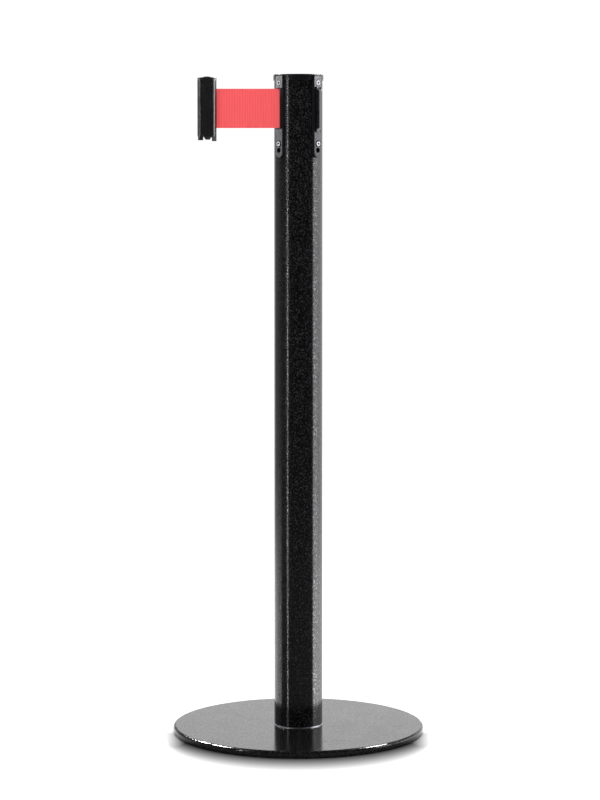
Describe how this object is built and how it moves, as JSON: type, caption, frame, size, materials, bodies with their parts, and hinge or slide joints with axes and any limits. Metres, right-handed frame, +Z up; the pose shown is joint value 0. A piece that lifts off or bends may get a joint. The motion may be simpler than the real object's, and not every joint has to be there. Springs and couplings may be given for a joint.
{
  "type": "retractable belt stanchion",
  "caption": "Crowd-control post with a weighted round base and a head that holds a spring-wound red belt with a clip end and rails for other belts.",
  "frame": {"origin": "on the post's axis at floor level", "axes": "+Z up the post; -Y is the front; the belt runs out towards -X"},
  "size_m": [0.33, 0.33, 0.865],
  "materials": {
    "hammered_black_paint": "semi-gloss powder coat with a fine orange-peel grain",
    "cast_iron": "as cast, dark primer",
    "black_rubber": "matt",
    "zinc_steel": "zinc plated",
    "spring_steel": "blued spring strip",
    "black_steel": "black oxide",
    "nickel_steel": "bright nickel plated",
    "gloss_black_plastic": "moulded, glossy",
    "satin_black_plastic": "moulded, satin with a fine grain",
    "black_nylon": "moulded, matt",
    "grey_acetal": "moulded, satin",
    "natural_acetal": "moulded, satin",
    "red_webbing": "woven polyester, fine cross ribs"
  },
  "bodies": {
    "post": {"base_cover": "hammered_black_paint", "base_weight": "cast_iron", "floor_ring": "black_rubber", "base_bolt": "zinc_steel", "base_washer": "zinc_steel", "tube_foot_plate": "zinc_steel", "post_tube": "hammered_black_paint", "head_cap": "gloss_black_plastic", "cassette_lid": "black_nylon", "cassette_body": "black_nylon", "receiver_plate_front_right": "satin_black_plastic", "receiver_rail_front_right": "gloss_black_plastic", "receiver_plate_rear_right": "satin_black_plastic", "receiver_rail_rear_right": "gloss_black_plastic", "receiver_plate_rear_left": "satin_black_plastic", "receiver_rail_rear_left": "gloss_black_plastic", "belt_outlet_plate": "satin_black_plastic", "front_guide_pin": "black_steel", "rear_guide_pin": "black_steel", "plate_upper_screws": "nickel_steel", "plate_lower_screws": "nickel_steel", "spool_axle": "zinc_steel", "axle_retaining_ring": "spring_steel", "spring_cup": "zinc_steel", "spring_cup_lid": "zinc_steel", "mainspring": "spring_steel"},
    "spool": {"spool": "grey_acetal", "belt_anchor_pin": "zinc_steel", "belt_coil": "red_webbing", "lower_bush": "natural_acetal", "upper_bush": "natural_acetal"},
    "belt_end": {"free_belt": "red_webbing", "clip_body": "gloss_black_plastic", "clip_lid": "gloss_black_plastic", "clip_foot_plug": "black_nylon", "belt_clamp_pin": "zinc_steel"}
  },
  "joints": [
    {"name": "belt_pull", "type": "slide", "parent": "post", "child": "belt_end", "axis": [-1, 0, 0], "range_m": [-0.072, 1.88], "stiffness_N_per_m": 3, "springref_m": -0.085, "deforming": ["free_belt"]},
    {"name": "spool_spin", "type": "hinge", "parent": "post", "child": "spool", "pos_m": [0, 0, 0.82], "axis": [0, 0, 1], "range_deg": [-7300, 300], "deforming": ["mainspring"]}
  ],
  "couplings": [
    {"joint": "spool_spin", "follows": "belt_pull", "rad_per_m": -66.667}
  ]
}
